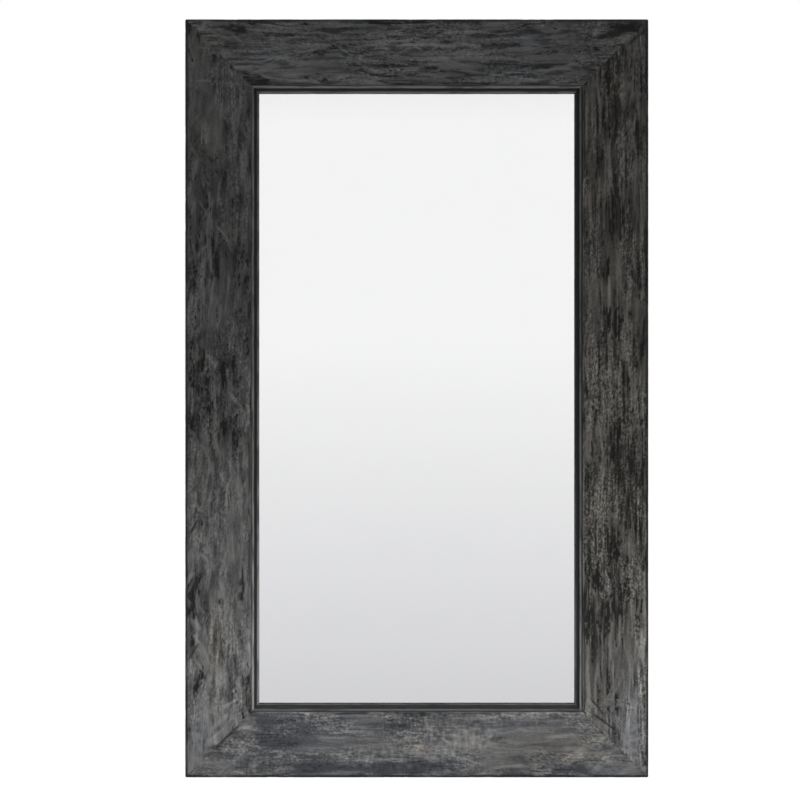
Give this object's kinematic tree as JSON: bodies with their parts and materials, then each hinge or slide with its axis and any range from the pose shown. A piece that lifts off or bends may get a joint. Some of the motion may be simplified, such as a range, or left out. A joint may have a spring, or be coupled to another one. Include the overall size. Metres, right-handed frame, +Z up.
{
  "type": "leaning floor mirror",
  "caption": "Tall rectangular floor mirror in a broad flat mitred wooden frame with a stepped black inner slip, corner braces, hangers and bumpers behind.",
  "frame": {"origin": "middle of the flat underside of the bottom rail, at half the frame's depth", "axes": "+Z up along the stiles, +X to the right seen from the front, the mirror faces -Y"},
  "size_m": [1.1, 0.05, 1.8],
  "materials": {
    "frame_paint": "grey paint dry-brushed over black, worn at the edges",
    "slip_paint": "satin black paint with a rubbed bead",
    "mirror_glass": "clear float glass",
    "silvering": "silver with grey backing paint",
    "hardboard": "brown hardboard, screen side out",
    "tongue_beech": "bare beech",
    "zinc_steel": "zinc-plated",
    "screw_steel": "zinc-plated",
    "hanger_steel": "nickel-plated",
    "rubber": "matt black"
  },
  "bodies": {
    "frame": {"frame_top_rail": "frame_paint", "frame_bottom_rail": "frame_paint", "frame_left_stile": "frame_paint", "frame_right_stile": "frame_paint", "slip_top": "slip_paint", "slip_bottom": "slip_paint", "slip_left": "slip_paint", "slip_right": "slip_paint", "mirror_glass": "mirror_glass", "mirror_silvering": "silvering", "backing_panel": "hardboard", "mitre_tongue_top_left": "tongue_beech", "mitre_tongue_top_right": "tongue_beech", "mitre_tongue_bottom_left": "tongue_beech", "mitre_tongue_bottom_right": "tongue_beech", "corner_brace_top_left": "zinc_steel", "corner_brace_top_right": "zinc_steel", "corner_brace_bottom_left": "zinc_steel", "corner_brace_bottom_right": "zinc_steel", "brace_screw_top_left_1": "screw_steel", "brace_screw_top_left_2": "screw_steel", "brace_screw_top_left_3": "screw_steel", "brace_screw_top_left_4": "screw_steel", "brace_screw_top_right_1": "screw_steel", "brace_screw_top_right_2": "screw_steel", "brace_screw_top_right_3": "screw_steel", "brace_screw_top_right_4": "screw_steel", "brace_screw_bottom_left_1": "screw_steel", "brace_screw_bottom_left_2": "screw_steel", "brace_screw_bottom_left_3": "screw_steel", "brace_screw_bottom_left_4": "screw_steel", "brace_screw_bottom_right_1": "screw_steel", "brace_screw_bottom_right_2": "screw_steel", "brace_screw_bottom_right_3": "screw_steel", "brace_screw_bottom_right_4": "screw_steel", "panel_screw_top_1": "screw_steel", "panel_screw_top_2": "screw_steel", "panel_screw_bottom_1": "screw_steel", "panel_screw_bottom_2": "screw_steel", "panel_screw_left_1": "screw_steel", "panel_screw_left_2": "screw_steel", "panel_screw_left_3": "screw_steel", "panel_screw_left_4": "screw_steel", "panel_screw_right_1": "screw_steel", "panel_screw_right_2": "screw_steel", "panel_screw_right_3": "screw_steel", "panel_screw_right_4": "screw_steel", "hanger_screw_left_1": "screw_steel", "hanger_screw_left_2": "screw_steel", "hanger_screw_right_1": "screw_steel", "hanger_screw_right_2": "screw_steel", "hanger_strap_left": "hanger_steel", "hanger_strap_right": "hanger_steel", "bumper_top_left": "rubber", "bumper_top_right": "rubber", "bumper_bottom_left": "rubber", "bumper_bottom_right": "rubber"},
    "ring_left": {"hanger_ring_left": "hanger_steel"},
    "ring_right": {"hanger_ring_right": "hanger_steel"}
  },
  "joints": [
    {"name": "ring_left_swing", "type": "hinge", "parent": "frame", "child": "ring_left", "pos_m": [-0.47, 0.02355, 1.35], "axis": [1, 0, 0], "range_deg": [0, 175]},
    {"name": "ring_right_swing", "type": "hinge", "parent": "frame", "child": "ring_right", "pos_m": [0.47, 0.02355, 1.35], "axis": [1, 0, 0], "range_deg": [0, 175]}
  ]
}
